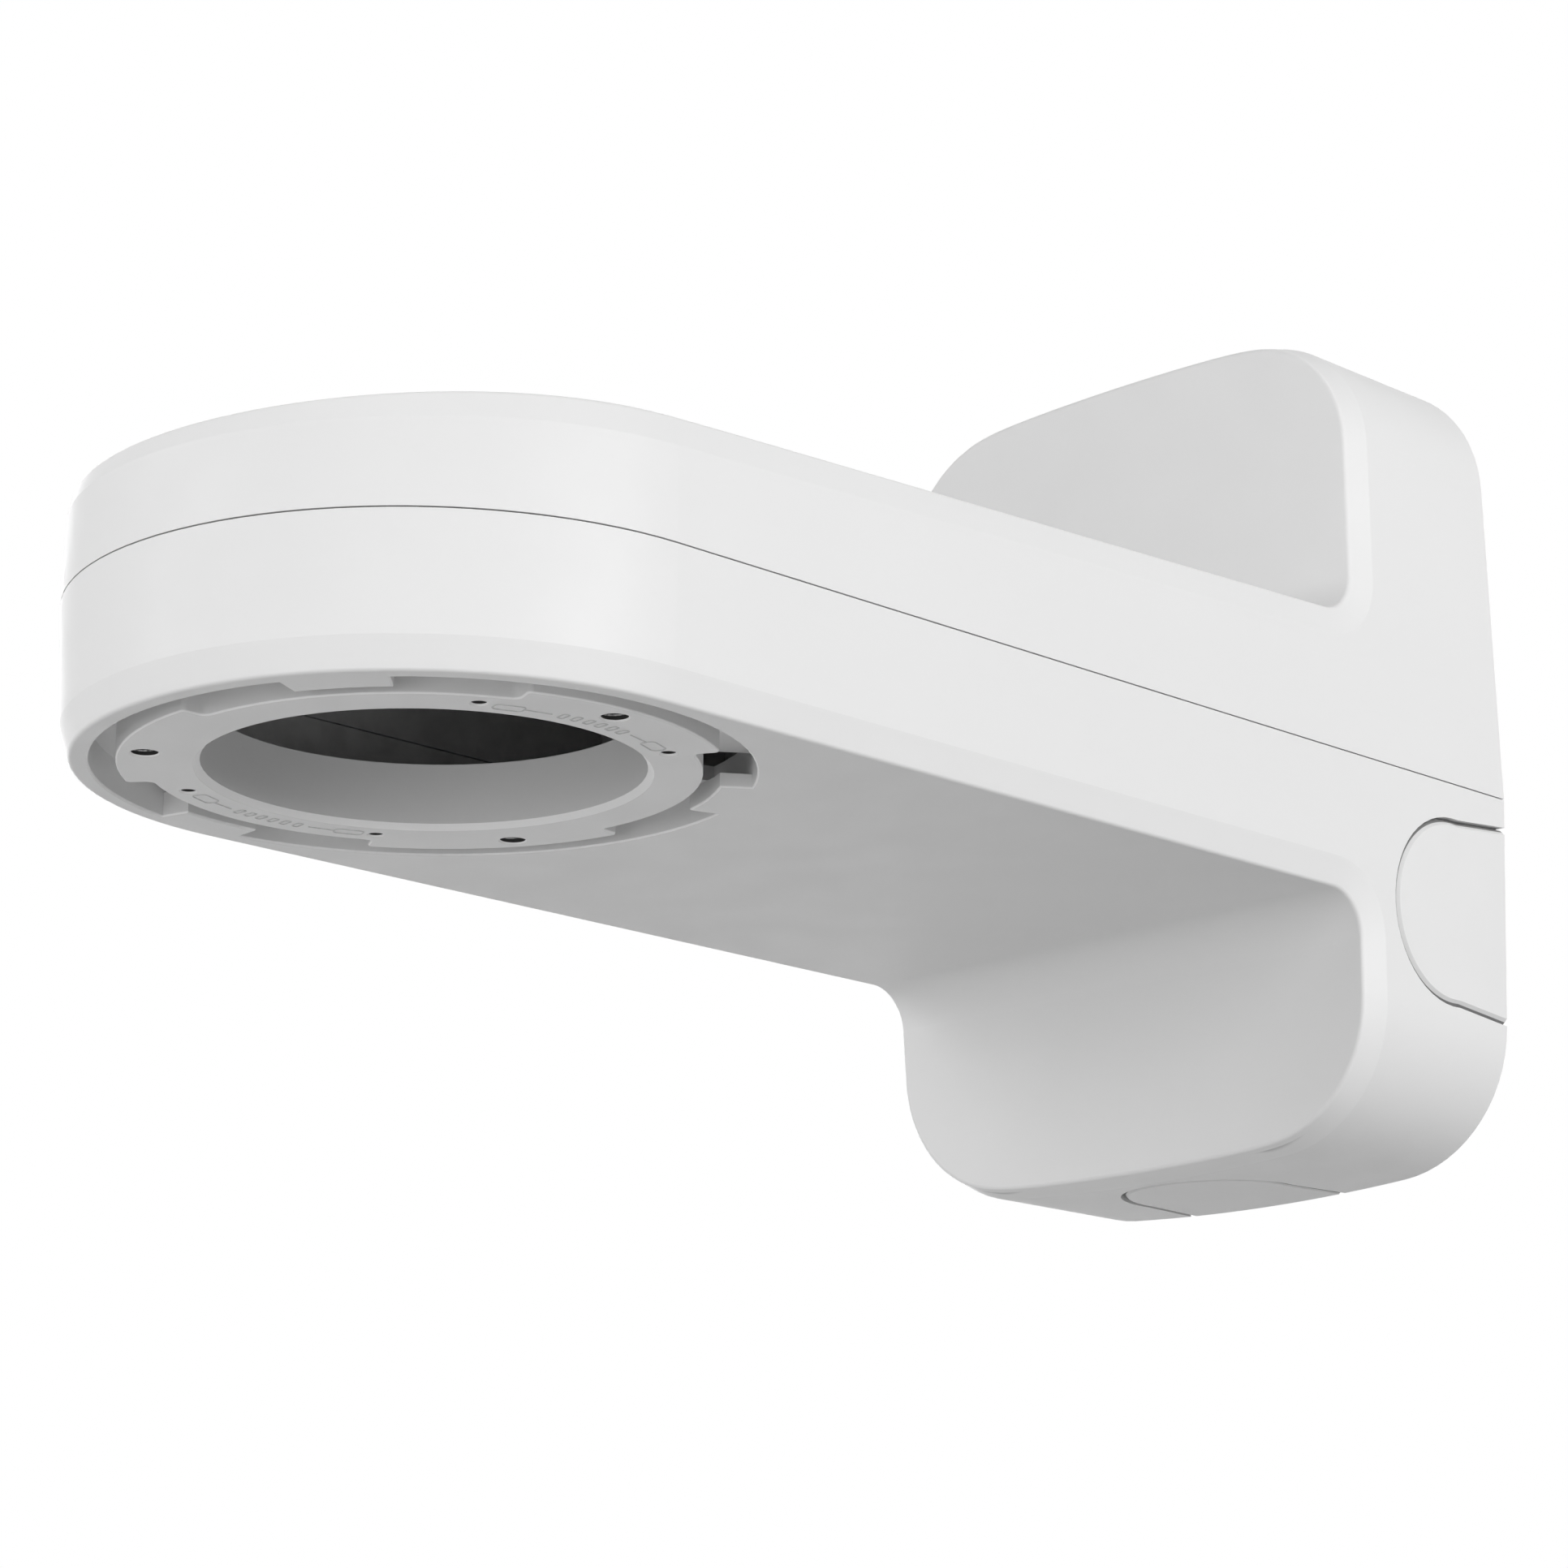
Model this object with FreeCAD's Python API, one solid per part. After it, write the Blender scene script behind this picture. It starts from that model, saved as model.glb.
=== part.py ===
import FreeCAD, Part
import os
from math import atan, cos, degrees, hypot, radians, sin, sqrt, tan

V = FreeCAD.Vector

# Wall bracket for a round camera. Millimetres, +Z up. The origin is the centre of the four wall
# screws, on the wall: the wall is the plane Y = 0, and the arm points along -Y.

# Outer form
HEAD_Y = -246.8           # axis of the head, in front of the wall
SEAM_Z = -41.0            # split between the two castings, below the middle of the wall screws
SEAM_GAP = 0.3            # open joint line between them
DRAFT = tan(radians(2.0))        # lean of every side and front wall, away from the seam
ARM_DROP = 28.95          # seam down to the level underside
ARM_RISE = 24.75          # seam up to the top face, above the head's axis
ROOF_SLOPE = tan(radians(2.08))  # the top face climbs towards the wall
NOSE_CURVE_START = 20.0   # before the head's axis the top face starts to curve down to the nose
NOSE_CURVE_R = 1550.0
BOX_DEPTH = 49.7          # wall box, wall to front face at the seam
BOX_DROP = 80.7           # seam down to the middle of the box's bottom
BOX_RISE = 101.8          # seam up to the middle of the box's top
BOX_CROWN = 1.35          # rise of the bottom and top arcs over CROWN_SPAN
CROWN_SPAN = 38.0
BOX_CORNER = 30.5         # corner radius of the box
ROOT_RADIUS = 9.5         # hollow fillet where the arm meets the box
BEVEL_FACE = 1.5          # long shallow bevel round every front edge: bite into the face
BEVEL_SIDE = 6.2          # and along the side
BEVEL_SOFT = 0.9          # rounding between bevel and face
WALL = 4.0                # cast wall

# Head seen from below, from the bore outwards
BORE_R = 41.6             # cable and camera opening
BORE_CHAMFER = 1.2
BORE_RIM = 13.2           # height of the bore's wall
COLLAR_W = 10.3           # bore to the edge of the collar
CHANNEL_W = 10.1          # bayonet channel round the collar
HEAD_RIM = 6.2            # channel to the outside of the head at the seam
COLLAR_R = BORE_R + COLLAR_W
CHANNEL_R = COLLAR_R + CHANNEL_W
HALF_WIDTH = CHANNEL_R + HEAD_RIM  # half the width of arm, head and wall box at the seam
CHANNEL_DEPTH = 7.0
HEAD_FLOOR = 10.0         # underside to the inner floor of the head
LUG_REACH = 5.1           # lugs beyond the collar
LUG_R = COLLAR_R + LUG_REACH
LUG_START = -22.0         # degrees, first lug; the others follow by thirds of a turn
LUG_SPAN = 53.0
LUG_COUNT = 3
LUG_ROUND = 1.0
HEAD_ROUND = 0.4          # cast rounding on the edges of the head's underside
LUG_ROOT = 1.6            # hollow corner between lug and collar
TAB_GAP = 3.95            # collar to the bayonet tabs
TAB_R = COLLAR_R + TAB_GAP
TAB_START = 55.6
TAB_SPAN = 18.4
TAB_THIN = 2.9            # lead-in end of the ramp
TAB_THICK = 4.9           # locked end of the ramp
WINDOW_EXTRA = 1.5        # degrees that the window above a tab runs past its end
CAMERA_HOLES_OUT = 0.1    # circle of the three camera holes, just outside the collar
CAMERA_CIRCLE_R = COLLAR_R + CAMERA_HOLES_OUT
CAMERA_HOLE_R = 2.5
CAMERA_HOLE_MOUTH = 2.85
CAMERA_HOLE_DEPTH = 12.0
CAMERA_BOSS_R = 5.5
CAMERA_BOSS_CAP = 2.0     # metal over the end of each hole
GANG_X = 83.34            # two-gang box pattern
GANG_Y = 46.04
GANG_HOLE_R = 1.4
GANG_HOLE_MOUTH = 1.8
GANG_HOLE_DEPTH = 10.0

# Conduit entries: two sides and the bottom
ENTRY_R = 20.4
ENTRY_FROM_WALL = 18.4    # circle centre in front of the wall
ENTRY_FLARE = tan(radians(5.0))  # each straight edge opens towards the wall
ENTRY_DROP = 28.0         # seam down to the side entries
LEDGE = 2.0               # width of the step that the plug sits on
LEDGE_DEPTH = 2.2         # depth of the step below the outer face
PLUG_PLATE = 1.6          # visible plate of the plug
PLUG_GAP = 0.45           # open line round the plate
PLUG_BEVEL = 1.15
PLUG_RIM = 1.5            # wall of the plug's inner collar
PLUG_FIT = 0.2
PLUG_EMBED = 0.2          # how far the collar starts inside the plate
HOOK = 1.2                # snap hooks behind the casting's wall
HOOK_WIDTH = 9.0

# Screws that join the castings
SIDE_SCREW_INSET = 10.2   # outer wall to the screws beside the arm
NOSE_SCREW_INSET = 11.2   # outer wall to the screws in the nose
NOSE_SCREW_TURN = radians(30.0)  # of each nose screw before the head's axis
ROOT_SCREW_OUT = 12.3     # box's front face to the last pair of screws
ARM_SCREW_Y = -140.0
SIDE_SCREW_X = HALF_WIDTH - SIDE_SCREW_INSET
NOSE_SCREW_R = HALF_WIDTH - NOSE_SCREW_INSET
CLOSING_XY = ((NOSE_SCREW_R * cos(NOSE_SCREW_TURN), HEAD_Y - NOSE_SCREW_R * sin(NOSE_SCREW_TURN)),
              (SIDE_SCREW_X, ARM_SCREW_Y),
              (SIDE_SCREW_X, -BOX_DEPTH - ROOT_SCREW_OUT))
CLOSING_SEAT = 13.0       # seam up to the screw seat inside the cover
SCREW_BOSS_R = 5.6        # boss in the base
TOWER_R = 6.6             # boss in the cover, round the sunk head
WEB_T = 3.0               # web that ties a boss to the side wall
THREAD_FIT = 0.02         # between a screw or pin and its hole
M5_TAP_R = 2.1
M5_CLEAR_R = 2.75
M5_HEAD_R = 4.25
M5_HEAD_H = 5.0
M5_LENGTH = 25.0
M5_TAP_DEPTH = 14.0
M5_SOCKET = 4.0
HEAD_CLEAR = 0.35
WASHER_T = 1.0
WASHER_BORE_CLEAR = 0.15
PLUG_TOP_T = 3.0          # rubber plug over a sunk head
PLUG_TOP_FIT = 0.05
PIN_XY = (SIDE_SCREW_X, -105.0)
PIN_R = 2.0
PIN_LENGTH = 14.0
PIN_SHORT = 0.1           # room beyond each end of a pin
PIN_BOSS_R = 4.5
SEAL_WIDTH = 1.8
SEAL_HEIGHT = 1.6
SEAL_CLEAR = 0.1

# Back plate and its cheeks, cast with the base
PLATE_FRONT = 6.0         # wall to the plate's front face
PLATE_BACK = 2.0          # wall to its rear face: the screw pads bridge this
PLATE_CLEAR = 1.2         # between plate and cover
PLATE_FOOT = 5.0          # depth of the plate below the seam
WALL_HOLE_X = 72.0        # screw pattern, centred on the origin
WALL_HOLE_TOP = 25.8      # top of the box down to the upper wall screws
WALL_HOLE_Z = 2 * (BOX_RISE + SEAM_Z - WALL_HOLE_TOP)
WALL_HOLE_R = 4.25
PAD_R = 9.0
CABLE_HOLE_R = 23.0
CHEEK_X = 48.0            # middle of each cheek
CHEEK_T = 4.0
CHEEK_TOE = 50.3          # box's front face to the toe of the cheek
CHEEK_RISE = 82.0         # seam to the top of the cheek
HOOK_LUG_X = 34.0         # lugs of the cover behind the plate's top edge
HOOK_LUG_W = 12.0
HOOK_LUG_T = 1.5
HOOK_LUG_OVERLAP = 4.0

# Small fittings inside
GASKET_W = 6.0
GASKET_EDGE = 1.0
GROMMET_FLANGE = 3.0
GROMMET_LIP = 1.4
GROMMET_FIT = 0.1
MEMBRANE_T = 1.2
M4_CLEAR_R = 2.2
M4_TAP_R = 1.65
M4_HEAD_R = 3.8
M4_HEAD_H = 2.6
M4_LENGTH = 8.0
M4_TAP_DEPTH = 8.0
M4_SOCKET = 2.5
FITTING_BOSS_R = 5.5
FITTING_BOSS_H = 8.0
ANCHOR_XY = (34.0, HEAD_Y + 81.8)
ANCHOR_W = 12.0
ANCHOR_T = 2.0
ANCHOR_H = 16.0
ANCHOR_EYE_R = 3.5
ANCHOR_MARGIN = 2.0       # metal beyond the screw head, and round the eye
EARTH_XY = (-34.0, -BOX_DEPTH - 70.3)
TOOTH_WASHER_R = 4.4
TOOTH_WASHER_T = 0.8
TOOTH_COUNT = 10
CLAMP_XY = (40.0, -BOX_DEPTH - 75.3)
CLAMP_CABLE_R = 4.0
CLAMP_T = 1.5
CLAMP_W = 10.0
CLAMP_GAP = 1.5           # between screw head and cable loop
CLAMP_TOE = 1.0

UNDERSIDE_Z = SEAM_Z - ARM_DROP
BASE_RIM_Z = SEAM_Z - SEAM_GAP / 2
COVER_RIM_Z = SEAM_Z + SEAM_GAP / 2
FLOOR_Z = UNDERSIDE_Z + WALL
TOUCH = 0.01              # points closer than this are on each other
OVER = 1.0                # ribs and cutting tools run this far past the face they meet
BIG = 400.0               # reach of the largest cutting tools


def tube(radius, z_low, z_high, x=0.0, y=0.0):
    """Upright cylinder."""
    return Part.makeCylinder(radius, z_high - z_low, V(x, y, z_low))


def block(x0, x1, y0, y1, z0, z1):
    return Part.makeBox(x1 - x0, y1 - y0, z1 - z0, V(x0, y0, z0))


def mirrored(shape):
    return shape.mirror(V(0, 0, 0), V(1, 0, 0))


def both_sides(shape):
    return [shape, mirrored(shape)]


def turned(shape, angle):
    """Copy turned about the head's axis."""
    copy = shape.copy()
    copy.rotate(V(0, HEAD_Y, 0), V(0, 0, 1), angle)
    return copy


def polygon_face(points):
    return Part.Face(Part.makePolygon(points + [points[0]]))


def one(shape):
    """The single solid of a finished piece."""
    clean = shape.removeSplitter()
    if len(clean.Solids) != 1:
        raise ValueError("piece has %d solids" % len(clean.Solids))
    return clean.Solids[0]


def width_at(z, inset, sign):
    """Half width at a height, on the lower (sign -1) or upper (sign 1) casting."""
    return HALF_WIDTH - inset - sign * (z - SEAM_Z) * DRAFT


def depth_at(z, inset, sign):
    """Depth of the wall box at a height: its front leans as the sides do."""
    return BOX_DEPTH - inset - sign * (z - SEAM_Z) * DRAFT


def roof_line(y, inset):
    """Height of the straight part of the top face."""
    return SEAM_Z + ARM_RISE + (y - HEAD_Y) * ROOF_SLOPE - inset


def roof_at(y, inset):
    """Height of the top face, with the slow arc that takes it down over the head."""
    bend_y = HEAD_Y + NOSE_CURVE_START
    if y > bend_y:
        return roof_line(y, inset)
    lean = atan(ROOF_SLOPE)
    centre_y = bend_y + NOSE_CURVE_R * sin(lean)
    centre_z = roof_line(bend_y, inset) - NOSE_CURVE_R * cos(lean)
    return centre_z + sqrt(NOSE_CURVE_R ** 2 - (y - centre_y) ** 2)


def above_line(inset):
    """Everything over the straight top face."""
    ends = (2 * HEAD_Y, BIG)
    points = [V(-BIG, y, roof_line(y, inset)) for y in ends] + [V(-BIG, y, BIG) for y in reversed(ends)]
    return polygon_face(points).extrude(V(2 * BIG, 0, 0))


def above_arc(inset):
    """Everything over the head's curved top."""
    front, bend = 2 * HEAD_Y, HEAD_Y + NOSE_CURVE_START
    arc = [V(-BIG, y, roof_at(y, inset)) for y in (front, (front + bend) / 2, bend)]
    corners = [arc[-1], V(-BIG, bend, BIG), V(-BIG, front, BIG), arc[0]]
    edges = [Part.Arc(*arc).toShape()] + [Part.makeLine(a, b) for a, b in zip(corners, corners[1:])]
    return Part.Face(Part.Wire(edges)).extrude(V(2 * BIG, 0, 0))


def before_box(sign, inset):
    """Everything in front of the wall box's leaning front face."""
    heights = (SEAM_Z - sign * OVER, SEAM_Z + sign * BIG)
    near = [V(-BIG, -depth_at(z, inset, sign), z) for z in heights]
    far = [V(-BIG, -BIG, z) for z in reversed(heights)]
    return polygon_face(near + far).extrude(V(2 * BIG, 0, 0))


def box_part(sign, inset, rim_z, back_y):
    """Lower or upper half of the wall box: leaning sides, crowned end and round corners."""
    reach = BOX_RISE if sign > 0 else BOX_DROP
    middle_z = SEAM_Z + sign * (reach - inset)
    end_x = width_at(middle_z, inset, sign)
    end_z = middle_z - sign * BOX_CROWN * (end_x / CROWN_SPAN) ** 2
    end_x = width_at(end_z, inset, sign)
    rim_x = width_at(rim_z, inset, sign)
    crown = Part.Arc(V(end_x, back_y, end_z), V(0, back_y, middle_z), V(-end_x, back_y, end_z)).toShape()
    edges = [Part.makeLine(V(-rim_x, back_y, rim_z), V(rim_x, back_y, rim_z)),
             Part.makeLine(V(rim_x, back_y, rim_z), V(end_x, back_y, end_z)),
             crown,
             Part.makeLine(V(-end_x, back_y, end_z), V(-rim_x, back_y, rim_z))]
    solid = Part.Face(Part.Wire(edges)).extrude(V(0, -BOX_DEPTH - OVER - back_y, 0))
    solid = solid.cut(before_box(sign, inset))
    corners = [e for e in solid.Edges
               if e.BoundBox.YLength > BOX_DEPTH / 2 and abs(e.BoundBox.ZMax - end_z) < TOUCH]
    return solid.makeFillet(BOX_CORNER - inset, corners)


def half_body(sign, inset=0.0, rim_z=None, back_y=0.0, curved=True):
    """Lower (sign -1) or upper (sign 1) half of the outer form, drawn in by inset."""
    if rim_z is None:
        rim_z = BASE_RIM_Z if sign < 0 else COVER_RIM_Z
    far_z = UNDERSIDE_Z + inset if sign < 0 else roof_at(back_y, inset) + OVER
    low, high = min(rim_z, far_z), max(rim_z, far_z)
    low_w, high_w = width_at(low, inset, sign), width_at(high, inset, sign)
    nose = Part.makeCone(low_w, high_w, high - low, V(0, HEAD_Y, low), V(0, 0, 1))
    ends = [(-low_w, low), (low_w, low), (high_w, high), (-high_w, high)]
    arm = polygon_face([V(x, HEAD_Y, z) for x, z in ends]).extrude(V(0, back_y - HEAD_Y, 0))
    if sign > 0:
        nose = nose.cut(above_line(inset))
        arm = arm.cut(above_line(inset))
    body = nose.fuse([arm, box_part(sign, inset, rim_z, back_y)]).removeSplitter()
    return body.cut(above_arc(inset)) if sign > 0 and curved else body


def on_arm_face(point, sign):
    """True on the arm's level underside, or on its sloping top face, straight or curved."""
    levels = (UNDERSIDE_Z,) if sign < 0 else (roof_line(point.y, 0), roof_at(point.y, 0))
    return any(abs(point.z - level) < 2 * TOUCH for level in levels)


def dressed_body(sign):
    """Outer half with its root fillet, the long bevel and the soft edge between them."""
    body = half_body(sign, curved=False)
    root = [e for e in body.Edges
            if e.BoundBox.YMin > -BOX_DEPTH and e.BoundBox.YLength < TOUCH
            and e.BoundBox.XLength > BOX_DEPTH and on_arm_face(e.Vertexes[0].Point, sign)]
    body = body.makeFillet(ROOT_RADIUS, root)
    rim = [e for e in body.Edges
           if e.BoundBox.YMin < HEAD_Y - OVER and on_arm_face(e.Vertexes[0].Point, sign)
           and on_arm_face(e.valueAt((e.FirstParameter + e.LastParameter) / 2), sign)]
    body = body.makeChamfer(BEVEL_FACE, BEVEL_SIDE, rim[:1])
    if sign > 0:
        body = body.cut(above_arc(0))
    soft = [e for e in body.Edges
            if e.BoundBox.YMin < HEAD_Y - OVER and on_arm_face(e.Vertexes[0].Point, sign)
            and on_arm_face(e.valueAt((e.FirstParameter + e.LastParameter) / 2), sign)]
    return body.makeFillet(BEVEL_SOFT, soft[:1])


def head_point(radius, angle, z):
    return V(radius * cos(radians(angle)), HEAD_Y + radius * sin(radians(angle)), z)


def ring_sector(r_in, r_out, start, span, z_low, z_high):
    """Slice of a ring about the head's axis."""
    inner = [head_point(r_in, start + part * span, z_low) for part in (0, 0.5, 1)]
    outer = [head_point(r_out, start + part * span, z_low) for part in (1, 0.5, 0)]
    edges = [Part.Arc(*inner).toShape(), Part.makeLine(inner[-1], outer[0]),
             Part.Arc(*outer).toShape(), Part.makeLine(outer[-1], inner[0])]
    return Part.Face(Part.Wire(edges)).extrude(V(0, 0, z_high - z_low))


def head_lug():
    """Lug that carries a camera screw, rounded at its corners and where it leaves the collar."""
    low, high = UNDERSIDE_Z, UNDERSIDE_Z + HEAD_FLOOR
    lug = ring_sector(BORE_R, LUG_R, LUG_START, LUG_SPAN, low, high)
    collar = ring_sector(BORE_R, COLLAR_R, LUG_START - LUG_SPAN / 4, 1.5 * LUG_SPAN, low, high)
    lug = lug.fuse(collar).removeSplitter()
    for radius, rounding in ((LUG_R, LUG_ROUND), (COLLAR_R, LUG_ROOT)):
        corners = [head_point(radius, LUG_START, low), head_point(radius, LUG_START + LUG_SPAN, low)]
        upright = [e for e in lug.Edges if e.BoundBox.ZLength > OVER
                   and any(v.Point.distanceToPoint(c) < TOUCH for v in e.Vertexes for c in corners)]
        lug = lug.makeFillet(rounding, upright)
    return lug


def head_tab():
    """Ramped bayonet tab, thin at its lead-in end."""
    tab = ring_sector(TAB_R, CHANNEL_R + OVER, TAB_START, TAB_SPAN, UNDERSIDE_Z, UNDERSIDE_Z + TAB_THICK)
    run = radians(TAB_SPAN) * (TAB_R + CHANNEL_R) / 2
    lean = degrees(atan((TAB_THICK - TAB_THIN) / run))
    ramp = block(0, BIG, -CHANNEL_R, BIG, 0, BIG)
    ramp.rotate(V(0, 0, 0), V(1, 0, 0), lean)
    ramp.translate(V(0, HEAD_Y, UNDERSIDE_Z + TAB_THIN))
    return tab.cut(turned(ramp, TAB_START))


def hole_with_mouth(radius, mouth, depth, x, y):
    """Blind hole up from the underside, with its small countersink."""
    sink = Part.makeCone(mouth, radius, mouth - radius, V(x, y, UNDERSIDE_Z), V(0, 0, 1))
    return tube(radius, UNDERSIDE_Z - OVER, UNDERSIDE_Z + depth, x, y).fuse(sink)


def lug_turns():
    return [i * 360.0 / LUG_COUNT for i in range(LUG_COUNT)]


def camera_hole_places():
    points = [head_point(CAMERA_CIRCLE_R, a, 0) for a in lug_turns()]
    return [(p.x, p.y) for p in points]


def gang_hole_places():
    return [(sx * GANG_X / 2, HEAD_Y + sy * GANG_Y / 2) for sx in (1, -1) for sy in (1, -1)]


def soften_head(base):
    """Cast rounding on the lower edges of channel, lugs, tabs and collar."""
    edges = []
    for edge in base.Edges:
        middle = edge.valueAt((edge.FirstParameter + edge.LastParameter) / 2)
        reach = hypot(middle.x, middle.y - HEAD_Y)
        outside_bore = BORE_R + 2 * BORE_CHAMFER < reach < CHANNEL_R + TOUCH
        if edge.BoundBox.ZMax < UNDERSIDE_Z + TOUCH and outside_bore:
            edges.append(edge)
    return base.makeFillet(HEAD_ROUND, edges)


def add_head(base):
    """Collar, bayonet channel, lugs, tabs and windows, and the camera's holes."""
    inner_r = width_at(UNDERSIDE_Z, WALL, -1) + OVER
    floor = tube(inner_r, UNDERSIDE_Z + OVER, UNDERSIDE_Z + HEAD_FLOOR, 0, HEAD_Y)
    collar = tube(COLLAR_R, UNDERSIDE_Z + OVER, UNDERSIDE_Z + BORE_RIM, 0, HEAD_Y)
    boss_top = UNDERSIDE_Z + CAMERA_HOLE_DEPTH + CAMERA_BOSS_CAP
    boss_low = UNDERSIDE_Z + CHANNEL_DEPTH
    bosses = [tube(CAMERA_BOSS_R, boss_low, boss_top, x, y) for x, y in camera_hole_places()]
    base = base.fuse([floor, collar] + bosses)
    channel = tube(CHANNEL_R, UNDERSIDE_Z - OVER, UNDERSIDE_Z + CHANNEL_DEPTH, 0, HEAD_Y)
    channel = channel.cut(tube(COLLAR_R, UNDERSIDE_Z - OVER, UNDERSIDE_Z + CHANNEL_DEPTH, 0, HEAD_Y))
    window = ring_sector(COLLAR_R, CHANNEL_R, TAB_START, TAB_SPAN + WINDOW_EXTRA,
                         UNDERSIDE_Z + OVER, UNDERSIDE_Z + HEAD_FLOOR + OVER)
    base = base.cut([channel] + [turned(window, a) for a in lug_turns()])
    base = base.fuse([turned(piece, a) for piece in (head_lug(), head_tab()) for a in lug_turns()])
    bore = tube(BORE_R, UNDERSIDE_Z - OVER, UNDERSIDE_Z + BORE_RIM + OVER, 0, HEAD_Y)
    mouth = Part.makeCone(BORE_R + BORE_CHAMFER, BORE_R, BORE_CHAMFER, V(0, HEAD_Y, UNDERSIDE_Z), V(0, 0, 1))
    holes = [hole_with_mouth(CAMERA_HOLE_R, CAMERA_HOLE_MOUTH, CAMERA_HOLE_DEPTH, x, y)
             for x, y in camera_hole_places()]
    holes += [hole_with_mouth(GANG_HOLE_R, GANG_HOLE_MOUTH, GANG_HOLE_DEPTH, x, y)
              for x, y in gang_hole_places()]
    return soften_head(base.cut([bore, mouth]).removeSplitter()).cut(holes)


def entry_outline(grow):
    """Conduit entry in its own plane: u runs from the wall into the box, v across."""
    radius = ENTRY_R + grow
    flare = atan(ENTRY_FLARE)
    start = V(ENTRY_FROM_WALL - radius * sin(flare), radius * cos(flare), 0)
    end = V(start.x, -start.y, 0)
    rise = (start.x + OVER) * ENTRY_FLARE
    corners = [end, V(-OVER, end.y - rise, 0), V(-OVER, start.y + rise, 0), start]
    edges = [Part.Arc(start, V(ENTRY_FROM_WALL + radius, 0, 0), end).toShape()]
    edges += [Part.makeLine(a, b) for a, b in zip(corners, corners[1:])]
    return Part.Face(Part.Wire(edges))


def entry_prism(place, grow):
    """Cutter of one conduit entry, right through the wall it is in."""
    prism = entry_outline(grow).extrude(V(0, 0, 2 * ENTRY_R))
    prism.rotate(V(0, 0, 0), V(0, 0, 1), -90)
    if place == "bottom":
        prism.translate(V(0, 0, SEAM_Z - BOX_DROP - ENTRY_R))
        return prism
    prism.rotate(V(0, 0, 0), V(0, 1, 0), 90)
    prism.translate(V(HALF_WIDTH - ENTRY_R, 0, SEAM_Z - ENTRY_DROP))
    return mirrored(prism) if place == "left" else prism


def wall_layer(depth_from, depth_to):
    """Layer of the lower casting's wall, between two depths under its outer face."""
    outer = half_body(-1, depth_from)
    return outer.cut(half_body(-1, depth_to, BASE_RIM_Z + OVER, OVER))


def entry_cuts(place):
    """Through hole of an entry, and the shallower step round it."""
    through = entry_prism(place, -LEDGE)
    step = entry_prism(place, 0).common(wall_layer(0, LEDGE_DEPTH))
    return [through, step]


def closing_places():
    return [(sx * x, y) for x, y in CLOSING_XY for sx in (1, -1)]


def pin_places():
    return [(sx * PIN_XY[0], PIN_XY[1]) for sx in (1, -1)]


def seal_path_face(z, width):
    """Band of the given width along the middle of the rim: round the nose, open at the wall."""
    middle = HALF_WIDTH - WALL / 2

    def outline(r):
        points = [V(r, 0, z), V(r, HEAD_Y, z), V(0, HEAD_Y - r, z), V(-r, HEAD_Y, z), V(-r, 0, z)]
        edges = [Part.makeLine(points[0], points[1]),
                 Part.Arc(points[1], points[2], points[3]).toShape(),
                 Part.makeLine(points[3], points[4]),
                 Part.makeLine(points[4], points[0])]
        return Part.Face(Part.Wire(edges))
    return outline(middle + width / 2).cut(outline(middle - width / 2))


def plate_slab(inset, y_back, y_front, z_low):
    """Slice of the cover's inner space parallel to the wall, continued below the seam."""
    upper = half_body(1, inset, SEAM_Z, OVER)
    foot_z = SEAM_Z - PLATE_FOOT
    foot_w = width_at(foot_z, inset, -1)
    foot = block(-foot_w, foot_w, -y_front, -y_back, foot_z, SEAM_Z + TOUCH)
    slab = block(-BIG, BIG, -y_front, -y_back, z_low, BIG)
    return upper.fuse(foot).common(slab)


def cheek():
    """Triangular rib from the trough's floor to the top of the back plate."""
    mouth_z = roof_at(-BOX_DEPTH, WALL) - 3 * PLATE_CLEAR
    inner_front = -depth_at(mouth_z, WALL, 1)
    sill = SEAM_Z - PLATE_FOOT
    top = SEAM_Z + CHEEK_RISE
    toe = -BOX_DEPTH - CHEEK_TOE
    points = [(toe, FLOOR_Z - OVER), (toe, FLOOR_Z + WALL), (inner_front, mouth_z),
              (-PLATE_FRONT, top), (-PLATE_BACK - OVER, top), (-PLATE_BACK - OVER, sill),
              (inner_front - OVER, sill), (inner_front - OVER, FLOOR_Z - OVER)]
    face = polygon_face([V(CHEEK_X - CHEEK_T / 2, y, z) for y, z in points])
    return face.extrude(V(CHEEK_T, 0, 0))


def wall_hole_places():
    return [(sx * WALL_HOLE_X / 2, sz * WALL_HOLE_Z / 2) for sx in (1, -1) for sz in (1, -1)]


def along_y(radius, y_from, y_to, x, z):
    return Part.makeCylinder(radius, abs(y_to - y_from), V(x, min(y_from, y_to), z), V(0, 1, 0))


def add_back_plate(base):
    """Back plate with screw pads and cable hole, and the cheeks that carry the arm."""
    plate = plate_slab(WALL + PLATE_CLEAR, PLATE_BACK, PLATE_FRONT, SEAM_Z - PLATE_FOOT)
    tie_w = width_at(SEAM_Z, WALL, -1) + OVER
    tie = block(-tie_w, tie_w, -PLATE_FRONT, -PLATE_BACK, SEAM_Z - PLATE_FOOT, BASE_RIM_Z)
    pads = [along_y(PAD_R, -PLATE_BACK - OVER, 0, x, z) for x, z in wall_hole_places()]
    base = base.fuse([plate, tie] + both_sides(cheek()) + pads)
    holes = [along_y(WALL_HOLE_R, -PLATE_FRONT - OVER, OVER, x, z) for x, z in wall_hole_places()]
    holes.append(along_y(CABLE_HOLE_R, -PLATE_FRONT - OVER, OVER, 0, 0))
    return base.cut(holes)


def fitting_places():
    return [ANCHOR_XY, EARTH_XY, CLAMP_XY]


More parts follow.
